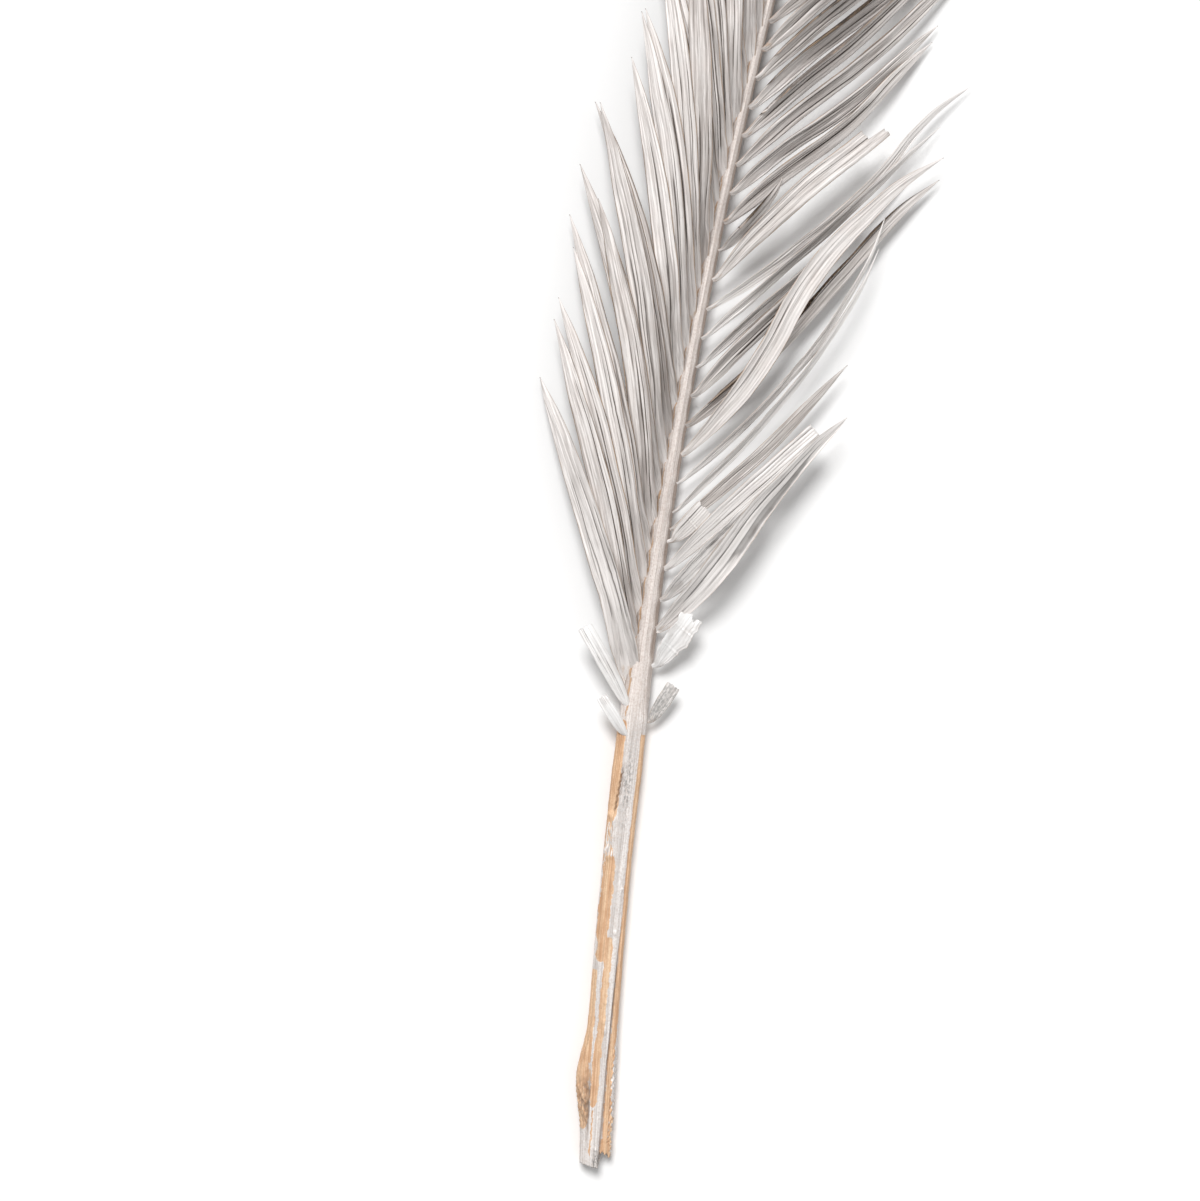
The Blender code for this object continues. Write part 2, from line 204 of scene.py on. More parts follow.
def leaflet_form(side, number, s, draw):
    """The form of one leaflet: the rule's values, a little seeded variation, then its own values."""
    spread = float(along(SPREAD, s / MM))
    lean_off = draw.gauss(0, LEAN_SCATTER)
    curl_off = draw.gauss(0, CURL_SCATTER)
    form = {
        "length": float(along(NATURAL_LENGTH[side], s / MM)) * draw.uniform(*LENGTH_SCATTER),
        "lean": [(angle + lean_off + curl_off * i / 3) * spread for i, angle in enumerate(LEAN[side])],
        "tilt": [angle + draw.uniform(-TILT_SCATTER, TILT_SCATTER) for angle in TILT[side]],
        "fold": list(FOLD[side]),
        "rise": RISE[side] + draw.uniform(-RISE_SCATTER, RISE_SCATTER),
        "tip": TIP_HEIGHT[side],
        "width": draw.uniform(*WIDTH_SCATTER) * (0.5 + 0.5 * spread),
        "cut": False,
        "shift": 0.0,
    }
    form.update(OWN_FORM[side].get(number, {}))
    return form


def leaflet_sections(side, s, form):
    """Ten cross-sections, root to point: the near edge, the keel, the far edge and the inner crease. The
    keel steps along the leaflet's lean; the edges stand off it by tilt plus or minus fold."""
    s = s + form["shift"] * MM
    u = np.linspace(0, 1, LEAFLET_SECTIONS)
    step = form["length"] * MM / (LEAFLET_SECTIONS - 1)
    angle = stalk_heading(s) + side * np.radians(eased(form["lean"], u))
    tilt = np.radians(eased(form["tilt"], u))[:, None]
    fold = np.radians(eased(form["fold"], u))[:, None]
    half = LEAFLET_WIDTH / 2 * form["width"]
    half = (half * along(BLADE_OUTLINE, u * CUT_OUTLINE_SHARE if form["cut"] else u))[:, None]
    across = np.stack((-np.cos(angle), np.sin(angle), 0 * angle), axis=1) * side
    root = stalk_point(s) + stalk_right(s) * side * (along(HALF_WIDTH, s / MM) * MM + ROOT_GAP)
    steps = np.stack((np.sin(angle), np.cos(angle)), axis=1) * step
    keel = np.empty((LEAFLET_SECTIONS, 3))
    keel[:, :2] = root[:2] + np.concatenate((np.zeros((1, 2)), np.cumsum(steps[:-1], axis=0)))
    keel[:, 2] = root[2] + (form["tip"] * MM - root[2]) * u + form["rise"] * MM * 4 * u * (1 - u)
    near = keel - (across * np.cos(tilt - fold) + UP * np.sin(tilt - fold)) * half
    far = keel + (across * np.cos(tilt + fold) + UP * np.sin(tilt + fold)) * half
    thickness = KEEL_THICKNESS * np.minimum(1.0, 0.35 + half / (LEAFLET_WIDTH / 4))
    crease = keel + (UP * np.cos(tilt) - across * np.sin(tilt)) * thickness
    return np.stack((near, keel, far, crease), axis=1)


def terminal_sections():
    """The last leaflet's cross-sections, in line with the stalk's end."""
    end = np.float64(STALK_LENGTH)
    u = np.linspace(0, 1, LEAFLET_SECTIONS)[:, None]
    root = stalk_point(end)
    keel = root + stalk_ahead(end) * (PIECE_GAP + TERMINAL_LENGTH * u) - UP * (root[2] - 1.5 * MM) * u * u
    half = LEAFLET_WIDTH / 4 * along(BLADE_OUTLINE, u)
    aside = stalk_right(end) * half
    return np.stack((keel - aside + UP * 0.3 * half, keel, keel + aside + UP * 0.3 * half,
                     keel + UP * KEEL_THICKNESS * 0.8 + 0 * u), axis=1)


def sheet_points(sections, edge, middle, other_edge, finer):
    """Points on the sheet from one edge over a middle line to the other edge, and the row of each."""
    rows = np.linspace(0, len(sections) - 1, (len(sections) - 1) * finer + 1)
    before = np.minimum(rows.astype(int), len(sections) - 2)
    share = (rows - before)[:, None, None]
    rings = sections[before] * (1 - share) + sections[before + 1] * share
    across = np.linspace(0, 1, SHEET_STEPS)[None, :, None]
    first = rings[:, None, edge] * (1 - across) + rings[:, None, middle] * across
    second = rings[:, None, middle] * (1 - across) + rings[:, None, other_edge] * across
    return rows, np.concatenate((first, second), axis=1)


def map_cells(points):
    """The cell of the height map under each point."""
    i = ((points[..., 0] - MAP_CORNER[0]) / CELL).astype(int)
    j = ((points[..., 1] - MAP_CORNER[1]) / CELL).astype(int)
    return i, j


def lay(sections, heights):
    """Raise a leaflet wherever it would sink into those already laid, and add its top to the height map."""
    rows, under = sheet_points(sections, 0, 1, 2, UNDER_FINER)
    need = (heights[map_cells(under)] + LAYING_GAP - under[..., 2]).max(axis=1)
    length = np.linalg.norm(np.diff(sections[:, 1, :2], axis=0), axis=1).sum()
    spacing = length / (len(sections) - 1)
    places = np.arange(len(sections))
    apart = np.abs(places[:, None] - rows[None, :])
    lift = (need[None, :] - np.maximum(apart - 1.0, 0.0) * spacing * LIFT_FALL).max(axis=1)
    lift = np.clip(lift, 0.0, places * spacing * STEEPEST_LIFT)
    laid = sections.copy()
    laid[..., 2] += lift[:, None]
    _, top = sheet_points(laid, 0, 3, 2, TOP_FINER)
    np.maximum.at(heights, map_cells(top), top[..., 2])
    return laid


def lay_leaflets():
    """Every leaflet's sections and form, by side and number, laid from the frond's tip to its cut end."""
    draw = random.Random(SEED)
    heights = np.zeros(MAP_CELLS)
    plan = {(TIP, 0): lay(terminal_sections(), heights)}
    forms = {(TIP, 0): {"cut": False, "shift": 0.0}}
    for side, _ in SIDES:
        places = leaflet_places(side)
        for number in range(len(places), 0, -1):
            form = leaflet_form(side, number, places[number - 1], draw)
            forms[side, number] = form
            plan[side, number] = lay(leaflet_sections(side, places[number - 1], form), heights)
    return plan, forms


PLAN, FORMS = lay_leaflets()
PLACE = np.array(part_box("leaflet_terminal")[0]) - PLAN[TIP, 0].reshape(-1, 3).min(axis=0)


def check_layout():
    """Stop if any leaflet worked out here lies elsewhere than the frame's own."""
    for side, word in SIDES:
        for number in range(1, LEAFLETS_A_SIDE + 1):
            name = f"leaflet_{word}_{number:02d}"
            points = PLAN[side, number].reshape(-1, 3) + PLACE
            low, high = (np.array(corner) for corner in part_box(name))
            apart = max(abs(points.min(axis=0) - low).max(), abs(points.max(axis=0) - high).max())
            if apart > LAYOUT_TOLERANCE:
                raise ValueError(f"{name} lies {apart / MM:.2f} mm from its frame node")


# ---- Tools for fine surfaces.

WAVE_STARTS = 6.28


def smooth_step(values, start, end):
    """0 before start, 1 after end, and an even S between them."""
    t = np.clip((values - start) / (end - start), 0.0, 1.0)
    return t * t * (3 - 2 * t)


def hump(values, middle, width):
    """A bell of height 1 about the middle."""
    return np.exp(-((values - middle) / width) ** 2)


def wander(draw, longest, parts=4):
    """A line that wanders between about -1 and 1: a sum of sines, each shorter and weaker than the last."""
    waves = [(2 * math.pi / (longest * draw.uniform(0.75, 1.25) / 1.9 ** i), draw.uniform(0, 2 * math.pi),
              0.62 / 1.5 ** i) for i in range(parts)]
    return lambda x: sum(weight * np.sin(rate * x + start) for rate, start, weight in waves)


def ripple(draw, long_way, cross_way, parts=6):
    """A sheet that rises and falls between about -1 and 1: a sum of sines that run mostly along it."""
    waves = []
    for i in range(parts):
        finer = 1.6 ** (i / 2)
        waves.append((2 * math.pi * finer / long_way * draw.uniform(0.7, 1.3),
                      2 * math.pi * finer / cross_way * draw.uniform(-1.2, 1.2),
                      draw.uniform(0, 2 * math.pi), 0.5 / finer))
    return lambda x, y: sum(weight * np.sin(a * x + b * y + start) for a, b, start, weight in waves)


def through(sections, places):
    """The sections at fractional numbers, on a curve through them all that passes each one along the line
    between its two neighbours."""
    places = np.clip(places, 0.0, len(sections) - 1 - 1e-9)
    i = places.astype(int)
    t = (places - i)[..., None, None]
    first = 2 * sections[:1] - sections[1:2]
    last = 2 * sections[-1:] - sections[-2:-1]
    a, b, c, d = (np.concatenate((first, sections, last))[i + k] for k in range(4))
    square = 2 * a - 5 * b + 4 * c - d
    cube = 3 * b - 3 * c + d - a
    return 0.5 * (2 * b + (c - a) * t + square * t ** 2 + cube * t ** 3)


def grid_normals(grid):
    """Unit normals of a grid of points: the cross product of its two directions."""
    normal = np.cross(np.gradient(grid, axis=0), np.gradient(grid, axis=1))
    return normal / np.maximum(np.linalg.norm(normal, axis=-1, keepdims=True), 1e-12)


def end_lid(ring):
    """Triangles that close a ring of point numbers: each point of its first half is joined to the one as far
    back on the other half."""
    first = np.arange(1, len(ring) // 2 - 1)
    back = len(ring) - first
    return ring[np.concatenate((
        np.stack((first, first + 1, back - 1), axis=-1), np.stack((first, back - 1, back), axis=-1),
        [[0, 1, len(ring) - 1], [len(ring) // 2 - 1, len(ring) // 2, len(ring) // 2 + 1]]))]


def closed_skin(rings):
    """Points and faces of a skin through rings of an even number of points, lidded at both ends, facing
    outwards: if the volume it holds comes out negative, every face is turned over."""
    rows, around = rings.shape[:2]
    here = np.arange(rows * around).reshape(rows, around)
    after = np.roll(here, -1, axis=1)
    sides = np.stack((here[:-1], after[:-1], after[1:], here[1:]), axis=-1).reshape(-1, 4)
    lids = np.concatenate((end_lid(here[0])[:, ::-1], end_lid(here[-1])))
    points = rings.reshape(-1, 3)
    a, b, c, d = (points[sides[:, k]] - points[0] for k in range(4))
    volume = (np.einsum("ij,ij->i", a, np.cross(b, c)) + np.einsum("ij,ij->i", a, np.cross(c, d))).sum()
    if volume < 0:
        sides, lids = sides[:, ::-1], lids[:, ::-1]
    return points, sides, lids


def make_piece(name, skins, material, slot, *nodes):
    """One object from one or more closed skins, each given as rings and a value of each mark at every point;
    it stands for the named frame nodes."""
    points, quads, lids, marks = [], [], [], {}
    start = 0
    for rings, values in skins:
        skin_points, skin_quads, skin_lids = closed_skin(rings)
        points.append(skin_points)
        quads.append(skin_quads + start)
        lids.append(skin_lids + start)
        start += len(skin_points)
        for mark, value in values.items():
            marks.setdefault(mark, []).append(value.reshape((-1,) + value.shape[2:]))
    points, quads, lids = np.concatenate(points), np.concatenate(quads), np.concatenate(lids)
    mesh = bpy.data.meshes.new(name)
    mesh.vertices.add(len(points))
    mesh.vertices.foreach_set("co", points.ravel())
    mesh.loops.add(quads.size + lids.size)
    mesh.loops.foreach_set("vertex_index", np.concatenate((quads.ravel(), lids.ravel())).astype(np.int32))
    mesh.polygons.add(len(quads) + len(lids))
    starts = np.concatenate((np.arange(len(quads)) * 4, quads.size + np.arange(len(lids)) * 3))
    mesh.polygons.foreach_set("loop_start", starts.astype(np.int32))
    mesh.update(calc_edges=True)
    mesh.validate()
    mesh.shade_smooth()
    for mark, values in marks.items():
        values = np.concatenate(values)
        kind, field = ("FLOAT_VECTOR", "vector") if values.ndim == 2 else ("FLOAT", "value")
        mesh.attributes.new(mark, kind, "POINT").data.foreach_set(field, values.astype(np.float32).ravel())
    mesh.materials.append(material)
    piece = bpy.data.objects.new(name, mesh)
    bpy.context.scene.collection.objects.link(piece)
    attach(piece, "root")
    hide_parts(*nodes)
    return piece


# ---- The leaflets.

SHEET = 0.42 * MM
CREASE_ROUNDING = 0.16
RIB_WAVES = ((1.6, 2.8, 0.7), (3.2, 4.6, 0.5), (5.2, 6.6, 0.45), (7.2, 9.0, 0.35), (9.6, 11.5, 0.2))
RIB_DEPTH = 0.115 * MM
THREAD_WAVES = (16, 20)
THREAD_DEPTH = 0.04 * MM
SLIT_DEPTH = 0.42 * MM
SLIT_WIDTH = 0.036
WAVE_HEIGHT = 0.20 * MM
SWAY = 0.22 * MM
EDGE_WANDER = 0.012
EDGE_ROLLED = 0.24
LEAST_ARC = 0.02
FLAT_ROLL = (-4, -18)
ROLL_TURN = {RIGHT: (-52, -105), LEFT: (-10, 22), TIP: (0, 0)}
ROLL_SCATTER = 14
SHADED_EDGE = 1.15
FULL_BREADTH = 3.2 * MM
ROOT_SWELL = 0.55 * MM
ROOT_DEPTH = 0.45
ROOT_SHRINK = 0.85
ROOT_RUN = 1.2 * MM
CLASP_RUN = 8.0 * MM
CLASP_SLOPE = math.radians(33)
POINT_REACH = 0.05
LEFT_ROOT_SPREAD = ((-13, 0.7), (-6, 1.5), (0, 2.3), (6, 1.65), (14, 1.25), (30, 1.0))
FINE = (72, 41)
TIP_FINE = (44, 25)
ROOT_ROWS = 9

# What the surface of single leaflets has of its own. flat: edges hardly rolled; roll: the near and the far
# edge's turn in degrees; foil, grime, tone: how bright, dirty and pale; back, lined: how much painted shade
# lies on its back and in its hollows; ragged, trimmed, step: how far a cut end is drawn back, in mm; wave,
# wild_edge: how uneven; kinks: place along and height in mm; slits: place across, start and end in mm;
# fold: where painted shade lies along a crease; moved: mm over the stalk and up; narrow: share of the width;
# stub: doesn't clasp the stalk.
# The slender ones are paler, carry a bright coat and little painted shade on their backs: painted light on
# faces that lie steep and in shade.
SLENDER = dict(narrow=0.66, tone=2.5, back=0.1, foil=0.45, lined=0.7, roll=(-30, -20))
OWN_FINISH = {
    RIGHT: {
        1: dict(flat=True, grime=0.8, ragged=0.8, wave=1.4, slits=(), foil=0.2, lined=0.15),
        2: dict(flat=True, foil=1.0, lined=0.6, ragged=3.2, wave=2.2, wild_edge=0.12,
                kinks=((0.35, 0.22), (0.7, 0.25))),
        3: dict(roll=(75, -15), foil=0.35, wave=1.6, fold=(-0.62, 0.36, 0.30)),
        4: dict(flat=True, foil=0.7, wave=2.2, wild_edge=0.08,
                kinks=((0.18, 0.2), (0.42, 0.18), (0.6, 0.2))),
        5: dict(flat=True, foil=0.5, lined=0.5, tone=1.5, ragged=0.7, wave=1.2, trimmed=4.2,
                kinks=((0.22, 0.15),)),
        6: dict(flat=True, foil=0.3, ragged=1.0, wave=1.6, kinks=((0.55, 0.3),)),
        7: dict(flat=True, wave=1.2),
        8: SLENDER, 9: SLENDER,
        10: dict(flat=True, wave=1.4, tone=1.6, lined=0.6),
        13: SLENDER, 14: SLENDER, 15: SLENDER,
        16: dict(flat=True, lined=0.6, tone=1.0, ragged=1.0, step=(-0.12, 7.5), wave=1.2, trimmed=3.4),
    },
    LEFT: {
        1: dict(foil=1.0, ragged=0.8, wave=1.2, stub=True, slits=((0.15, -2, 40),), moved=(4.2, 2.6)),
        2: dict(foil=0.9, ragged=0.9, wave=1.4, stub=True, slits=((0.25, -2, 60), (-0.45, 8, 60)),
                moved=(3.4, 2.2)),
        3: dict(foil=0.2, moved=(1.6, 0.8), wave=1.5, kinks=((0.30, 0.2), (0.34, 0.15), (0.40, 0.12))),
        6: dict(kinks=((0.5, 0.2),)),
        17: dict(kinks=((0.45, 0.3),)),
    },
}


def with_root(sections, side, s, form, finish, clasps):
    """The sections, with one more inside the stalk's flank for the root to grow from, and for a leaflet that
    wasn't cut one more where it comes to its point. One that clasps the stalk runs down it a way."""
    s = s + form["shift"] * MM
    inward_by, raised_by = finish.get("moved", (0.0, 0.0))
    sections = sections + stalk_right(s) * -side * inward_by * MM + UP * raised_by * MM
    flank = stalk_point(s) + stalk_right(s) * side * along(HALF_WIDTH, s / MM) * MM * ROOT_DEPTH
    inward = flank - sections[0, 1] - stalk_ahead(s) * (CLASP_RUN if clasps else ROOT_RUN)
    root = sections[0] + inward
    root = root.mean(axis=0) + (root - root.mean(axis=0)) * ROOT_SHRINK
    rings = [root[None], sections]
    if not form["cut"]:
        point = sections[-1].mean(axis=0) + (sections[-1, 1] - sections[-2, 1]) * POINT_REACH
        rings.append(np.repeat(point[None], 4, axis=0)[None])
    return np.concatenate(rings)


def cut_back(draw, finish, place, v, last, spacing):
    """The rows' places, with the cut end drawn back by its jags, its trimming and its step."""
    ragged = finish.get("ragged", 0.8) * MM
    jags = 0.5 * wander(draw, 0.9, 5)(v) + 0.3 * np.sign(wander(draw, 1.1, 2)(v))
    step_at, step = finish.get("step", (1.0, 0.0))
    trimmed = finish.get("trimmed", 0.0) * MM
    pull = ragged * np.clip(0.45 + 0.5 * jags, 0.0, 1.0) + trimmed
    pull = pull + step * MM * smooth_step(v, step_at - 0.03, step_at + 0.03)
    reach = max(1.2, 1.6 * (ragged + trimmed + step * MM) / spacing)
    return place - pull / spacing * smooth_step(place, last - reach, last)


def clasped(near, keel, far, x):
    """The far edge, turned about the keel near the root to the slope at which a blade clasps the stalk."""
    share = (1 - smooth_step(x, 4 * MM, 24 * MM))[..., None]
    level = (far - near) * (1, 1, 0)
    level = level / np.maximum(np.linalg.norm(level, axis=-1, keepdims=True), 1e-6)
    reach = np.linalg.norm(far - keel, axis=-1, keepdims=True)
    sloped = keel + (level * math.cos(CLASP_SLOPE) + UP * math.sin(CLASP_SLOPE)) * reach
    return far + share * (sloped - far)


def rolled_edges(draw, side, finish, clasps, x, v, half):
    """How far out each place across the blade reaches and how high it is lifted: past 1 - EDGE_ROLLED it
    goes round an arc, by sin(arc) / arc and (1 - cos(arc)) / arc, and the outline wanders."""
    wild = finish.get("wild_edge", EDGE_WANDER)
    outline = np.where(v < 0, wander(draw, 14 * MM, 4)(x), wander(draw, 17 * MM, 4)(x))
    turns = [math.radians(turn + draw.uniform(-ROLL_SCATTER, ROLL_SCATTER))
             for turn in finish.get("roll", FLAT_ROLL if finish.get("flat") else ROLL_TURN[side])]
    turn = np.where(v < 0, turns[0], turns[1]) * smooth_step(x, -1 * MM, 12 * MM)
    arc = np.where(np.abs(turn) < LEAST_ARC, LEAST_ARC, turn)
    share = np.clip((np.abs(v) - (1 - EDGE_ROLLED)) / EDGE_ROLLED, 0.0, 1.0)
    out = np.sign(v) * (np.minimum(np.abs(v), 1 - EDGE_ROLLED) + EDGE_ROLLED * np.sin(arc * share) / arc)
    out = out * (1 + wild * outline * smooth_step(x, 0.0, 8 * MM)) * finish.get("narrow", 1.0)
    if clasps:
        out = out * along(LEFT_ROOT_SPREAD, x / MM)
    return out, EDGE_ROLLED * (1 - np.cos(arc * share)) / arc * half


def leaflet_skin(side, number, sections, form, s, fine):
    """The rings and marks of one leaflet. Its top runs from edge to edge over the crease, which is rounded.
    It is lifted along its own normal by lengthwise ribs, finer threads, narrow slits, a slow rise and fall,
    the rolled edges, a swelling at the root and a few crosswise kinks. Its underside lies a sheet's
    thickness below, thinning towards the edges."""
    rows, across = fine
    finish = OWN_FINISH.get(side, {}).get(number, {})
    clasps = side == LEFT and not finish.get("stub")
    draw = random.Random(f"{side} {number}")
    rings = with_root(sections, side, s, form, finish, clasps)
    last = len(rings) - 1
    spacing = np.linalg.norm(np.diff(sections[:, 1], axis=0), axis=1).mean()
    place = np.concatenate((np.linspace(0, 1, ROOT_ROWS, endpoint=False),
                            np.linspace(1, last - (0.0 if form["cut"] else 0.02), rows - ROOT_ROWS)))
    place, v = np.meshgrid(place, np.linspace(-1, 1, across), indexing="ij")
    if form["cut"]:
        place = cut_back(draw, finish, place, v, last, spacing)
    x = (place - 1) * spacing
    share = np.clip(x / (spacing * (len(sections) - 1)), 0.0, 1.0)
    at = through(rings, place)
    near, keel, far, crease = (at[..., k, :] for k in range(4))
    if clasps:
        far = clasped(near, keel, far, x)
    half = np.linalg.norm(far - near, axis=-1) / 2
    broad = np.minimum(1.0, half / FULL_BREADTH)
    out, roll_lift = rolled_edges(draw, side, finish, clasps, x, v, half)
    soft = np.sqrt(out ** 2 + CREASE_ROUNDING ** 2)
    top = (crease + (near - crease) * ((soft - out) / 2)[..., None]
           + (far - crease) * ((soft + out) / 2)[..., None])

    free = smooth_step(x, 0.0, 25 * MM)
    aside = (far - near) / np.maximum(2 * half, 1e-6)[..., None]
    top = top + aside * (SWAY * wander(draw, 70 * MM, 2)(x) * free * broad)[..., None]
    ribs = sum(weight * np.cos(math.pi * draw.uniform(low, high) * v + draw.uniform(0, WAVE_STARTS)
                               + 0.8 * wander(draw, 60 * MM, 3)(x))
               for low, high, weight in RIB_WAVES)
    threads = np.cos(math.pi * draw.uniform(*THREAD_WAVES) * v + draw.uniform(0, WAVE_STARTS)
                     + wander(draw, 40 * MM, 3)(x))
    drawn = [(draw.uniform(-0.75, 0.75), draw.uniform(0, 30), draw.uniform(45, 110))
             for _ in range(draw.choice((2, 3, 3)))]
    slits = sum(hump(v, middle + 0.04 * wander(draw, 50 * MM, 2)(x), SLIT_WIDTH)
                * smooth_step(x, start * MM, (start + 10) * MM)
                * (1 - smooth_step(x, (end - 14) * MM, end * MM))
                for middle, start, end in finish.get("slits", drawn))
    wave = ripple(draw, 75 * MM, 3.4)(x, v) * WAVE_HEIGHT * finish.get("wave", 1.0) * free
    swell = ROOT_SWELL * hump(x, 1.2 * MM, 2.4 * MM) * (1 - v ** 2)
    kinks = sum(height * MM * (hump(share, middle + 0.015 * v, 0.010)
                               - 0.6 * hump(share, middle + 0.022, 0.013))
                for middle, height in finish.get("kinks", ()))
    lift = (RIB_DEPTH * ribs + THREAD_DEPTH * threads - SLIT_DEPTH * slits + wave) * broad
    lift = lift + roll_lift + swell + kinks
    normal = grid_normals(top)
    if normal[..., 2].mean() < 0:
        normal = -normal
    top = top + normal * lift[..., None]

    thick = SHEET * (0.30 + 0.70 * (1 - np.abs(v) ** 3)) * np.minimum(1.0, 0.3 + broad) + swell * 0.6
    below = slice(across - 2, 0, -1)
    under = (top - normal * thick[..., None])[:, below]
    skin = np.concatenate((top, under), axis=1) + PLACE
    skin[..., 2] = np.maximum(skin[..., 2], 0.0)

    def round_it(values, lower=None):
        return np.concatenate((values, values[:, below] if lower is None else lower), axis=1)

    # Painted shade: darker in the rib valleys, along the keel's crease and in the slits; a fold adds painted
    # shade along a crease, and shaded adds painted shadow along the edges.
    hollow_shade = np.clip(0.10 - 0.55 * ribs, 0, 1) * broad + 0.35 * hump(v, 0.0, 0.08) + 1.7 * slits
    if "fold" in finish:
        fold_at, fold_wide, fold_from = finish["fold"]
        fold = hump(v, fold_at, fold_wide) * smooth_step(share, fold_from, fold_from + 0.12)
        hollow_shade = hollow_shade + 1.3 * fold * (1 - smooth_step(share, 0.72, 0.9))
    shaded = smooth_step(v, 0.84, 0.97) + (smooth_step(-v, 0.88, 0.98) if side == LEFT else 0.0)
    hollow_shade = hollow_shade + SHADED_EDGE * shaded * smooth_step(x, 8 * MM, 30 * MM)
    offset = np.array([draw.uniform(0, 9) for _ in range(3)])
    grain = round_it(np.stack((x, v * half, 0 * x), axis=-1),
                     np.stack((x, v * half, -thick), axis=-1)[:, below]) + offset
    everywhere = np.ones_like(round_it(x))
    marks = {
        "grain": grain,
        "hollow_shade": round_it(hollow_shade) * finish.get("lined", 1.0),
        "edge": round_it(np.abs(v)),
        "root": round_it(1 - smooth_step(x, 0.5 * MM, 7 * MM)),
        # The under mark is 1 on the back, which the finish darkens with painted shade; back sets how much.
        "under": round_it(0 * x, np.full_like(under[..., 0], finish.get("back", 1.0))),
        "tone": everywhere * finish.get("tone", draw.gauss(0, 0.8)),
        "foil": everywhere * finish.get("foil", max(0.0, draw.gauss(-0.1, 0.15))),
        "grime": everywhere * finish.get("grime", 0.0),
    }
    return skin, marks


def make_leaflets(material):
    """Every leaflet: the single ones, the two bunches towards the tip, and the one that ends the frond."""
    for side, word in SIDES:
        bunch = []
        for number, s in enumerate(leaflet_places(side), start=1):
            single = number <= LEAFLETS_A_SIDE
            skin = leaflet_skin(side, number, PLAN[side, number], FORMS[side, number], s,
                                FINE if single else TIP_FINE)
            if single:
                name = f"leaflet_{word}_{number:02d}"
                make_piece(f"fine_{name}", [skin], material, "painted_leaflet", name)
            else:
                bunch.append(skin)
        make_piece(f"fine_tip_leaflets_{word}", bunch, material, "painted_leaflet", f"tip_leaflets_{word}")
    skin = leaflet_skin(TIP, 0, PLAN[TIP, 0], FORMS[TIP, 0], np.float64(STALK_LENGTH), TIP_FINE)
    make_piece("fine_leaflet_terminal", [skin], material, "painted_leaflet", "leaflet_terminal")


# ---- The stalk. Places across it, q, run from -1 on the left to 1 on the right.

STALK_FINE_ROWS = ((0, 150, 0.45), (150, 345, 0.8), (345, 620, 2.2))
STALK_AROUND = 132
STALK_ROUNDNESS = ((0, 2.9), (140, 2.7), (190, 2.1), (620, 2.0))
FIBRE_WAVES = ((19, 0.055), (31, 0.05), (47, 0.035), (9, 0.07))
SPLIT_AT = 0.24
SPLIT_LEAN = 5.8
SPLIT_STEP = 5.0 * MM
COAT = 0.13 * MM
WORN_THIN = 0.52
FLAP_OUT = 2.8 * MM
SPLINTER = (127 * MM, 146 * MM)
SOCKET_TURN = 0.55
SOCKET_HEIGHT = ((0, 0.5), (250, 0.45), (620, 0.15))
CAP_RINGS = (0.06, 0.3, 0.55, 0.78, 0.93)

# Blobs of paint on the stalk's face: mm along, place across, size in mm.
BLOBS = ((59, 0.05, 0.9), (52, -0.03, 1.1), (49, 0.12, 1.3), (24, -0.55, 1.2), (6, -0.02, 1.4),
         (84, 0.3, 0.8), (100, 0.55, 0.7))


def strip_of(q, s, low, high, start, end, edge):
    """1 on a lengthwise strip between two places across, with wandering edges and tapering ends."""
    taper = smooth_step(s, start, start + 6 * MM) * (1 - smooth_step(s, end - 6 * MM, end))
    middle, half = (low + high) / 2, (high - low) / 2 * np.maximum(taper, 0.0) ** 0.25
    inside = half - np.abs(q - middle + edge)
    return smooth_step(inside, -0.11, 0.11) * smooth_step(taper, 0.0, 0.3)


def bare_wood(draw, s, q, h):
    """1 where the coat of paint is gone: strips along the grain, a part of the right flank, and the
    underside. Between two strips on the left the coat is only worn thin."""
    wavy = 0.05 * wander(draw, 38 * MM, 4)(s) + 0.03 * wander(draw, 7 * MM, 4)(s)
    wavy_too = 0.05 * wander(draw, 30 * MM, 4)(s) + 0.035 * wander(draw, 6 * MM, 4)(s)
    slant = SPLIT_LEAN * s
    strips = (
        (-1.20, -0.36, 122, 162, wavy * 0.5), (-0.92, -0.12, 72, 113, wavy * 1.6),
        (-1.20, -0.60, 12, 72, wavy * 0.7), (-0.70, -0.22, 20, 84, wavy_too * 0.6 - slant),
        (SPLIT_AT + 0.04, SPLIT_AT + 0.40, -14, 84, wavy_too * 0.6 - slant),
        (0.62, 1.00, -14, 12, wavy_too), (-0.42, -0.30, 2, 22, wavy_too), (0.70, 0.86, 3, 30, wavy_too * 2),
        (-0.66, -0.54, 160, 205, wavy * 1.6), (-0.60, -0.50, 196, 300, wavy * 0.8),
        (-0.60, -0.50, 290, 430, wavy_too * 0.8),
    )
    bare = WORN_THIN * strip_of(q, s, -1.2, -0.40, 104 * MM, 128 * MM, wavy)
    for low, high, start, end, edge in strips:
        bare = np.maximum(bare, strip_of(q, s, low, high, start * MM, end * MM, edge))
    flank = smooth_step(q, 0.60, 0.76) * (s < 156 * MM) * (s > 60 * MM)
    belly = smooth_step(-h + 0.10 * wander(draw, 24 * MM, 4)(s), 0.10, 0.35)
    belly = belly * smooth_step(-s, -175 * MM, -150 * MM)
    return np.maximum(bare * (h > -0.2), np.maximum(flank, belly))


def paint_lumps(draw, s, q):
    """The height in mm of the lumps in the paint: a dozen drawn ones on the left, and BLOBS."""
    lumps = sum(hump(s, draw.uniform(111, 127) * MM, draw.uniform(0.8, 2.0) * MM)
                * hump(q, draw.uniform(-0.85, -0.35), draw.uniform(0.08, 0.16)) * draw.uniform(0.3, 0.8)
                for _ in range(12))
    return lumps + sum(hump(s, place * MM, size * MM) * hump(q, across, size / 9) * 0.7
                       for place, across, size in BLOBS)


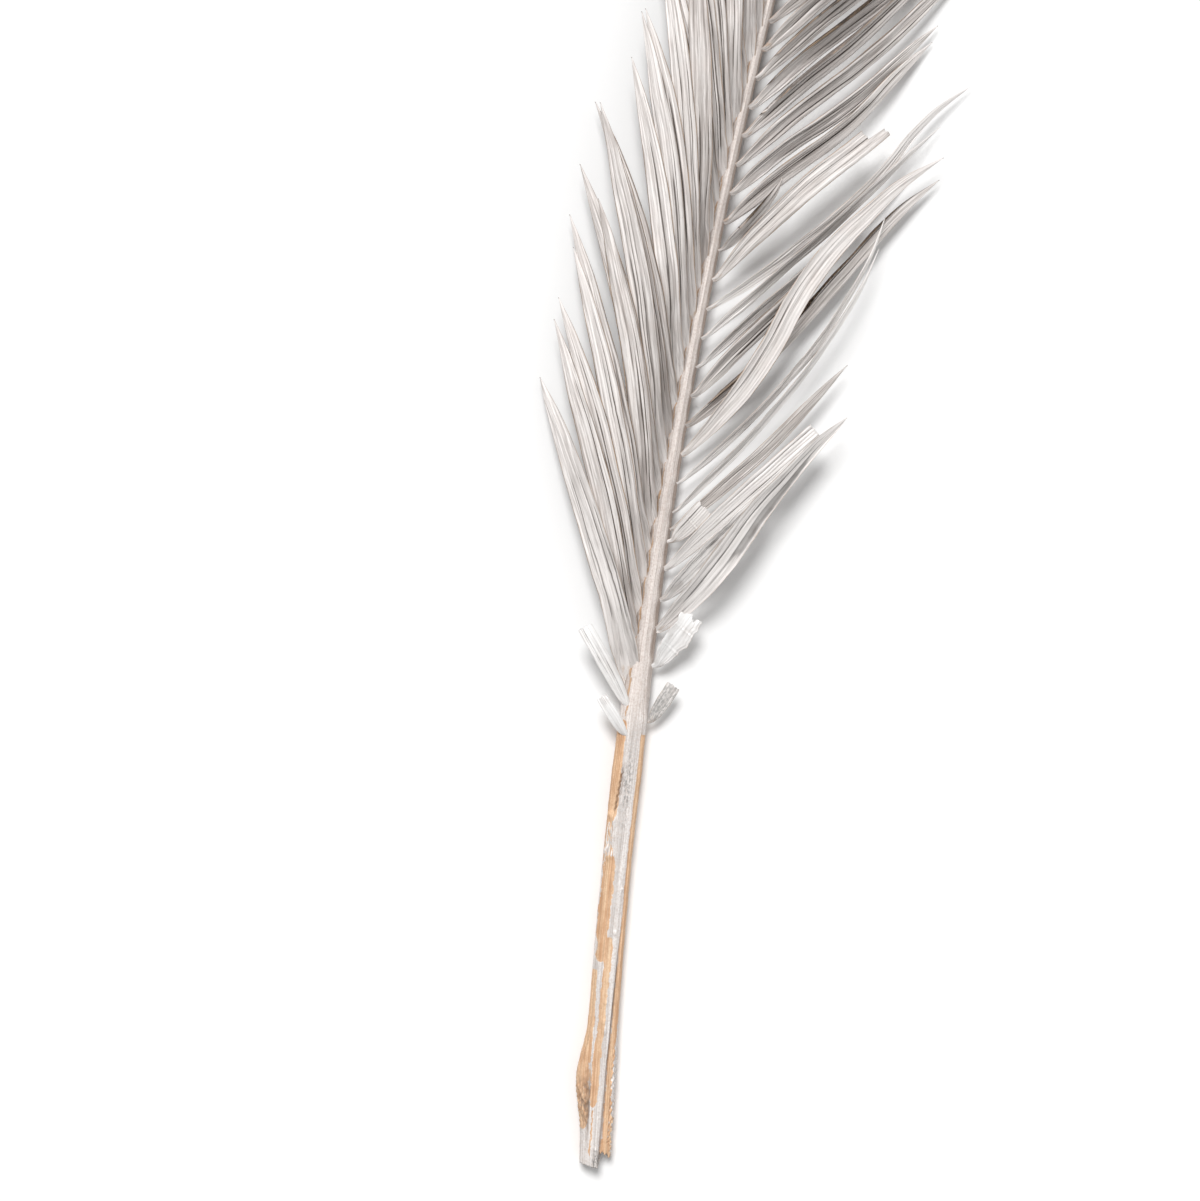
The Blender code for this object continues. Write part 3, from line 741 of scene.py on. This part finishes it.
def root_sockets(s, turn):
    """1 at the middle of the swelling under every leaflet's root."""
    sockets = np.zeros_like(s)
    for side, _ in SIDES:
        aside = SOCKET_TURN if side == RIGHT else math.pi - SOCKET_TURN
        for number, root in enumerate(leaflet_places(side), start=1):
            root = root + FORMS[side, number]["shift"] * MM
            sockets += hump(s, root + 0.4 * MM, 2.3 * MM) * hump(turn, aside, 0.50)
    return sockets


def right_of_split(q):
    """0 on the left of the split at the cut end and 1 on its right."""
    return smooth_step(q, SPLIT_AT - 0.02, SPLIT_AT + 0.02)


def end_slant(q):
    """How far in from the frame's end the cut lies: it is slanted, and deeper on the split's right."""
    early = right_of_split(q)
    return early * (SPLIT_STEP + 2.2 * MM * (0.6 - q)) + (1 - early) * 1.4 * MM * (-q)


def cut_face(rim, q, h):
    """Rings that close the cut end, from its middle out towards its rim."""
    centre = rim.mean(axis=0)
    start = np.float64(0.0)
    ahead = stalk_ahead(start)
    rings = []
    for share in CAP_RINGS:
        ring = centre + (rim - centre) * share
        rough = ripple(random.Random("cap"), 0.7, 0.7, 8)(q * share * 3, h * share * 3)
        wanted = end_slant(q * share) + 0.30 * MM * rough
        rings.append(ring + ahead * (wanted - (ring - stalk_point(start)) @ ahead)[:, None])
    return np.array(rings)


def make_stalk(material):
    """The stalk: a rounded box section that becomes a ridge, carried along its bowed line. It is lifted
    along its normal by lengthwise fibres, the coat of paint, a split and a splinter, lumps of paint, and a
    swelling under every leaflet's root. A flap peels off its left side, and its cut end is slanted."""
    draw = random.Random("stalk")
    stations = np.concatenate([np.arange(a, b, step) for a, b, step in STALK_FINE_ROWS]
                              + [[STALK_FINE_ROWS[-1][1]]]) * MM
    turn = np.linspace(0, 2 * math.pi, STALK_AROUND, endpoint=False)
    s, turn = np.meshgrid(stations, turn, indexing="ij")
    power = 2 / along(STALK_ROUNDNESS, s / MM)
    q, h = (np.sign(side) * np.abs(side) ** power for side in (np.cos(turn), np.sin(turn)))
    ridge = smooth_step(s, 158 * MM, 196 * MM)
    q = q * (1 - ridge * (0.42 * smooth_step(h, -0.25, 0.75)))
    face = h > 0
    bare = bare_wood(draw, s, q, h)

    fibres = sum(weight * np.sin(count * turn + draw.uniform(0, WAVE_STARTS)
                                 + 0.8 * wander(draw, 110 * MM, 3)(s))
                 for count, weight in FIBRE_WAVES)
    rough = ripple(draw, 9 * MM, 1.4, 8)(s, turn * 2) * 0.06
    split = hump(q, SPLIT_AT + SPLIT_LEAN * s + 0.02 * wander(draw, 40 * MM, 3)(s), 0.05) * face
    split = split * (1 - smooth_step(s, 66 * MM, 90 * MM))
    begin, end = SPLINTER
    line = -0.56 + 0.26 * (s - begin) / (15 * MM) + 0.05 * wander(draw, 3 * MM, 4)(s)
    splinter = 1.5 * hump(q, line, 0.06) * face * smooth_step(s, begin, begin + 2 * MM)
    splinter = splinter * (1 - smooth_step(s, end - 7 * MM, end))
    splinter = splinter + 0.8 * (hump(q, line + 0.17, 0.035) * hump(s, 136 * MM, 5 * MM)) * face
    curl = 0.25 * hump(q, line + 0.09, 0.06) * face * hump(s, 134 * MM, 6 * MM)
    lumps = paint_lumps(draw, s, q) * face
    ragged_edge = smooth_step(q, 0.70, 0.80) * (1 - smooth_step(s, 35 * MM, 50 * MM)) * (h > -0.3)
    ragged_edge = ragged_edge * ripple(draw, 3.2 * MM, 0.5, 8)(s, turn) * 0.30
    ridge_bar = hump(q, 0.16, 0.10) * face * (1 - smooth_step(s, 60 * MM, 84 * MM)) * 0.30
    flap = hump(s, 32 * MM, 12 * MM) * smooth_step(-q, 0.50, 0.90)
    fissure = hump(q, -0.60, 0.07) * hump(s, 23 * MM, 11 * MM) * face
    torn = smooth_step(-q, 0.52, 0.66) * hump(s, 22 * MM, 10 * MM) * (h > -0.5)
    torn_fibres = torn * ripple(draw, 5 * MM, 0.35, 8)(s, turn) * 0.42
    sockets = root_sockets(s, turn)
    lift = (fibres + rough + ridge_bar + ragged_edge + lumps + curl) * MM + COAT * (1 - bare)
    lift = lift - (1.1 * split + 0.8 * splinter + 0.8 * fissure - torn_fibres) * MM
    lift = lift + sockets * along(SOCKET_HEIGHT, s / MM) * MM

    half_width, half_height = along(HALF_WIDTH, s / MM) * MM, along(HALF_HEIGHT, s / MM) * MM
    sway = 0.012 * wander(draw, 90 * MM, 3)(s)
    side_step = q * (1 + sway) * half_width - FLAP_OUT * flap
    grid = stalk_point(s) + stalk_right(s) * side_step[..., None] + UP * (h * half_height)[..., None]
    normal = grid_normals(np.concatenate((grid[:, -1:], grid, grid[:, :1]), axis=1))[:, 1:-1]
    middle = grid.mean(axis=1, keepdims=True)
    normal = normal * np.sign((normal * (grid - middle)).sum(axis=-1, keepdims=True))
    shrink = np.minimum(1.0, half_width / (4 * MM))
    grid = grid + normal * (lift * shrink)[..., None]

    early = right_of_split(q)
    end_line = end_slant(q) + 0.35 * MM * (wander(draw, 0.5, 5)(q * 2) + wander(draw, 2.0, 5)(turn))
    end_line = end_line + 0.9 * MM * early * wander(draw, 0.30, 4)(q)
    grid = grid + stalk_ahead(s) * (end_line * (1 - smooth_step(s, 0.0, 12 * MM)))[..., None]
    grid[..., 2] = np.maximum(grid[..., 2], 0.0)
    grid = np.concatenate((cut_face(grid[0], q[0], h[0]), grid)) + PLACE

    def capped(values, at_cap):
        return np.concatenate((np.full_like(values[:len(CAP_RINGS)], at_cap), values))

    rise = h * half_height
    cap_grain = [np.stack((0 * q[0] - (1 - share) * 2 * MM, side_step[0] * share, rise[0] * share), axis=-1)
                 for share in CAP_RINGS]
    # Painted shade: on the ridge's flanks, and in the split, the splinter, the fissure, the torn fibres and
    # the grooves between the fibres.
    shaded = ridge * smooth_step(np.abs(q), 0.60, 0.72) * (1 - 0.5 * np.minimum(sockets, 1.0))
    hollow_shade = split * 1.4 + splinter * 1.2 + fissure + torn * np.clip(-torn_fibres * 4, 0, 1) + shaded
    hollow_shade = hollow_shade + np.clip(-fibres * 2.5, 0, 0.45) * (1 - 0.6 * ridge)
    corner = 1.6 * hump(s, 0.0, 6 * MM) * smooth_step(q, -0.45, 0.15) * (1 - early)
    specks = hump(s, 137 * MM, 14 * MM) * hump(q, 0.14, 0.28) * face
    grime = corner + 0.8 * specks + 0.35 * ragged_edge + 0.4 * torn
    marks = {
        "grain": np.concatenate((cap_grain, np.stack((s, side_step, rise), axis=-1))),
        "bare": capped(bare, 0.35),
        "hollow_shade": capped(np.clip(hollow_shade, 0, 1), 0.5),
        "grime": capped(np.clip(grime, 0, 1), 0.85),
        "ridge": capped(smooth_step(s, 150 * MM, 175 * MM), 0.0),
    }
    make_piece("fine_stalk", [(grid, marks)], material, "painted_stalk", "stalk")


# ---- Finishes.

SILVER_LIGHT = (0.84, 0.80, 0.775, 1)
SILVER_MID = (0.64, 0.60, 0.575, 1)
SILVER_SHADE = (0.25, 0.215, 0.195, 1)
WARM_CLOUD = (0.70, 0.60, 0.55, 1)
FOIL = (0.94, 0.93, 0.92, 1)
DUST = (0.16, 0.13, 0.11, 1)
# The next colour is painted shade, the darkest, in the leaflets' deepest hollows and slits.
GAP_SHADE = (0.085, 0.066, 0.055, 1)
# Painted shade on the leaflets' backs, darker and browner than the paint.
BACK_SHADE = (0.24, 0.195, 0.168, 1)
PALE_GRIME = (0.30, 0.295, 0.285, 1)
GREY_GRIME = (0.15, 0.145, 0.14, 1)
WORN_TAN = (0.50, 0.35, 0.24, 1)
WOOD_LIGHT = (0.79, 0.53, 0.335, 1)
WOOD_DEEP = (0.55, 0.305, 0.165, 1)
WOOD_PALE = (0.90, 0.72, 0.50, 1)
WOOD_SPOT = (0.50, 0.27, 0.14, 1)
RIDGE_WARM = (0.80, 0.70, 0.64, 1)
COAT_BROWN = (0.52, 0.42, 0.36, 1)
COAT_PALE = (0.90, 0.88, 0.86, 1)
# Painted shade in the stalk's hollows.
CREVICE_SHADE = (0.20, 0.13, 0.09, 1)
RELIEF_DEPTH = 0.3 * MM


class Finish:
    """A material's nodes, made and joined in short steps."""

    def __init__(self, name):
        self.material = bpy.data.materials.new(name)
        self.material.use_nodes = True
        self.tree = self.material.node_tree
        self.tree.nodes.clear()
        self.shader = self.tree.nodes.new("ShaderNodeBsdfPrincipled")
        output = self.tree.nodes.new("ShaderNodeOutputMaterial")
        self.tree.links.new(self.shader.outputs["BSDF"], output.inputs["Surface"])

    def feed(self, node, inputs):
        """Feed each of a node's inputs from another node's output, or with a number or colour."""
        for socket, value in inputs.items():
            if hasattr(value, "is_output"):
                self.tree.links.new(value, node.inputs[socket])
            else:
                node.inputs[socket].default_value = value
        return node

    def node(self, kind, inputs, **settings):
        """A new node with these settings and inputs."""
        node = self.tree.nodes.new("ShaderNode" + kind)
        for name, value in settings.items():
            setattr(node, name, value)
        return self.feed(node, inputs)

    def mark(self, name, output="Fac"):
        """A value that the mesh carries at every point."""
        return self.node("Attribute", {}, attribute_name=name).outputs[output]

    def noise(self, vector, scale, finer=3.0, rough=0.55):
        """Noise of the given numbers of waves a metre along, across and into the grain."""
        stretch = self.node("Mapping", {"Vector": vector, "Scale": scale})
        return self.node("TexNoise", {"Vector": stretch.outputs["Vector"], "Scale": 1.0, "Detail": finer,
                                      "Roughness": rough}).outputs["Fac"]

    def reach(self, value, low, high, to_low=0.0, to_high=1.0):
        """From one number to another, on an even S, as the value goes from low to high."""
        ends = {"Value": value, "From Min": low, "From Max": high, "To Min": to_low, "To Max": to_high}
        return self.node("MapRange", ends, interpolation_type="SMOOTHSTEP").outputs["Result"]

    def sum(self, kind, a, b, clamp=False):
        """Two values added, subtracted or multiplied."""
        return self.node("Math", {0: a, 1: b}, operation=kind, use_clamp=clamp).outputs["Value"]

    def mix(self, share, a, b):
        """Two colours mixed: the share is that of the second."""
        return self.node("Mix", {0: share, 6: a, 7: b}, data_type="RGBA").outputs[2]

    def tint(self, colour, other, value, low, high, most=1.0):
        """The colour, with up to the given share of the other as the value goes from low to high."""
        return self.mix(self.reach(value, low, high, 0.0, most), colour, other)

    def relief(self, height, strength):
        """The normals of a surface that stands out by this height."""
        return self.node("Bump", {"Height": height, "Strength": strength,
                                  "Distance": RELIEF_DEPTH}).outputs["Normal"]


def leaflet_finish():
    """Silver paint on a ribbed leaflet: streaks along the grain, painted shade in its hollows and along its
    edges, tan worn edges and roots, painted shade on its back, darker and browner, small specks, and here
    and there a thick bright coat."""
    f = Finish("silvered_leaflet")
    grain, hollow_shade, foil = f.mark("grain", "Vector"), f.mark("hollow_shade"), f.mark("foil")
    streaks = f.noise(grain, (55, 1250, 900), 5, 0.68)
    bands = f.noise(grain, (22, 480, 300), 3)
    lines = f.noise(grain, (30, 1500, 900), 4, 0.6)
    clouds = f.noise(grain, (110, 160, 160), 4)
    flecks = f.noise(grain, (1500, 2600, 1500), 2)
    tone = f.sum("MULTIPLY", f.mark("tone"), 0.05)
    colour = f.tint(SILVER_MID, SILVER_LIGHT, f.sum("ADD", streaks, tone), 0.43, 0.55)
    colour = f.tint(colour, SILVER_SHADE, f.sum("SUBTRACT", bands, tone), 0.54, 0.68, 0.5)
    colour = f.tint(colour, SILVER_SHADE, lines, 0.59, 0.68, 0.45)
    colour = f.tint(colour, WARM_CLOUD, clouds, 0.35, 0.72, 0.22)
    # Painted shade in the hollows, deepest in the gaps and slits.
    shade = f.sum("MULTIPLY", hollow_shade, f.reach(streaks, 0.25, 0.7, 1.0, 0.45))
    colour = f.mix(f.sum("MULTIPLY", shade, 0.7, True), colour, SILVER_SHADE)
    colour = f.tint(colour, GAP_SHADE, hollow_shade, 0.66, 1.15, 0.9)
    worn = f.sum("ADD", f.noise(grain, (160, 900, 900), 4), f.reach(f.mark("edge"), 0.86, 1.0, 0.0, 0.55))
    worn = f.sum("ADD", worn, f.reach(f.mark("root"), 0.0, 1.0, 0.0, 0.30))
    colour = f.tint(colour, WORN_TAN, worn, 0.80, 1.0, 0.75)
    # Painted shade on the back.
    colour = f.tint(colour, BACK_SHADE, f.mark("under"), 0.0, 1.0, 0.75)
    colour = f.tint(colour, DUST, flecks, 0.70, 0.78, 0.5)
    colour = f.mix(f.sum("MULTIPLY", foil, f.reach(clouds, 0.3, 0.6, 0.35, 0.9), True), colour, FOIL)
    patches = f.reach(f.noise(grain, (900, 1300, 900), 3), 0.42, 0.62, 0.15, 0.8)
    colour = f.mix(f.sum("MULTIPLY", f.mark("grime"), patches), colour, PALE_GRIME)
    rough = f.reach(f.sum("SUBTRACT", streaks, foil), -0.4, 0.8, 0.34, 0.58)
    normal = f.relief(f.sum("ADD", streaks, f.sum("MULTIPLY", clouds, 0.6)), 0.5)
    f.feed(f.shader, {"Base Color": colour, "Metallic": 0.06, "Roughness": rough, "Normal": normal})
    return f.material


def stalk_finish():
    """Bare tan wood with darker fibres where the coat is gone, silver paint elsewhere, its edge broken up,
    with painted shade in its hollows and grime on the cut."""
    f = Finish("silvered_stalk")
    grain, ridge, bare = f.mark("grain", "Vector"), f.mark("ridge"), f.mark("bare")
    fibres = f.noise(grain, (35, 2100, 2100), 4)
    bands = f.noise(grain, (14, 600, 600), 3)
    clouds = f.noise(grain, (190, 320, 320), 4)
    flecks = f.noise(grain, (1100, 2200, 2200), 3)
    mottle = f.noise(grain, (1300, 1500, 1500), 3, 0.65)
    wood = f.tint(WOOD_DEEP, WOOD_LIGHT, f.sum("ADD", fibres, f.sum("MULTIPLY", clouds, 0.4)), 0.52, 0.86)
    wood = f.tint(wood, WOOD_PALE, bands, 0.45, 0.70, 0.45)
    wood = f.tint(wood, WOOD_SPOT, mottle, 0.40, 0.66, 0.35)
    wood = f.tint(wood, WORN_TAN, ridge, 0.0, 1.0, 0.6)
    paint = f.tint(SILVER_MID, SILVER_LIGHT, fibres, 0.36, 0.62)
    paint = f.tint(paint, SILVER_SHADE, bands, 0.45, 0.70, 0.35)
    paint = f.tint(paint, RIDGE_WARM, ridge, 0.0, 1.0, 0.45)
    paint = f.tint(paint, COAT_BROWN, mottle, 0.42, 0.66, 0.45)
    paint = f.mix(f.reach(mottle, 0.26, 0.40, 0.35, 0.0), paint, COAT_PALE)
    ragged = f.sum("SUBTRACT", f.noise(grain, (420, 2000, 2000), 4, 0.65), 0.5)
    patchy = f.sum("SUBTRACT", f.noise(grain, (90, 700, 700), 3), 0.5)
    uneven = f.sum("ADD", f.sum("MULTIPLY", ragged, 1.5), f.sum("MULTIPLY", patchy, 0.9))
    colour = f.mix(f.reach(f.sum("ADD", bare, uneven), 0.44, 0.56), paint, wood)
    colour = f.tint(colour, DUST, flecks, 0.66, 0.76, 0.6)
    # Painted shade in the hollows.
    colour = f.mix(f.sum("MULTIPLY", f.mark("hollow_shade"), 0.72, True), colour, CREVICE_SHADE)
    patches = f.reach(f.noise(grain, (700, 1500, 1500), 4, 0.7), 0.42, 0.62)
    colour = f.mix(f.sum("MULTIPLY", f.mark("grime"), patches, True), colour, GREY_GRIME)
    rough = f.reach(f.sum("ADD", fibres, bare), 0.2, 1.6, 0.40, 0.62)
    normal = f.relief(f.sum("ADD", fibres, f.sum("MULTIPLY", clouds, 0.8)), 0.4)
    f.feed(f.shader, {"Base Color": colour, "Metallic": 0.08, "Roughness": rough, "Normal": normal})
    return f.material


# ---- The floor, the light and the camera.

FLOOR_SIZE = 6.0
FLOOR_DROP = 0.2 * MM
FLOOR_PALE = (0.86, 0.86, 0.86, 1)
FLOOR_PALER = (0.89, 0.888, 0.885, 1)
AIR_COLOUR = (1.0, 0.995, 0.99, 1)
AIR_STRENGTH = 0.40
# Each sun: where it stands from the point looked at, its spread in degrees, its strength.
SUNS = {"key": ((-0.40, 0.92, 1.80), 22, 2.65), "fill": ((0.9, -0.5, 1.3), 60, 0.3)}
ROLL = math.radians(11.15)
LOOK_AT = (-29.4 * MM, -131.7 * MM)
WIDTH_SEEN = 432 * MM
SEEN_HEIGHT = 10 * MM
LENS = 100
SENSOR = 36
FARTHEST = 20


def studio():
    """A pale matt floor, a soft light from above on the far left, a weaker one opposite, and pale air. The
    camera looks straight down and sees WIDTH_SEEN at SEEN_HEIGHT."""
    bpy.ops.mesh.primitive_plane_add(size=FLOOR_SIZE, location=(0, 0, -FLOOR_DROP))
    floor = bpy.context.active_object
    floor.name = "floor"
    f = Finish("pale_floor")
    cloudy = f.noise(f.node("TexCoord", {}).outputs["Object"], (3, 3, 3), 3)
    colour = f.mix(cloudy, FLOOR_PALE, FLOOR_PALER)
    f.feed(f.shader, {"Base Color": colour, "Roughness": 0.9, "Specular IOR Level": 0.1})
    floor.data.materials.append(f.material)

    scene = bpy.context.scene
    scene.world = bpy.data.worlds.new("studio_air")
    scene.world.use_nodes = True
    air = scene.world.node_tree.nodes["Background"]
    air.inputs["Color"].default_value = AIR_COLOUR
    air.inputs["Strength"].default_value = AIR_STRENGTH
    for name, ((x, y, z), spread, power) in SUNS.items():
        lamp = bpy.data.lights.new(name, "SUN")
        lamp.angle = math.radians(spread)
        lamp.energy = power
        light = bpy.data.objects.new(name, lamp)
        light.location = (x + LOOK_AT[0], y + LOOK_AT[1], z)
        light.rotation_euler = (math.atan2(math.hypot(x, y), z), 0, math.atan2(x, -y))
        scene.collection.objects.link(light)
    scene.view_settings.view_transform = "Standard"

    lens = bpy.data.cameras.new("camera")
    lens.type = "PERSP"
    lens.lens = LENS
    lens.sensor_width = SENSOR
    lens.clip_end = FARTHEST
    camera = bpy.data.objects.new("camera", lens)
    camera.location = (*LOOK_AT, WIDTH_SEEN * LENS / SENSOR + SEEN_HEIGHT)
    camera.rotation_euler = (0, 0, ROLL)
    scene.collection.objects.link(camera)
    scene.camera = camera


check_layout()
make_leaflets(leaflet_finish())
make_stalk(stalk_finish())
studio()
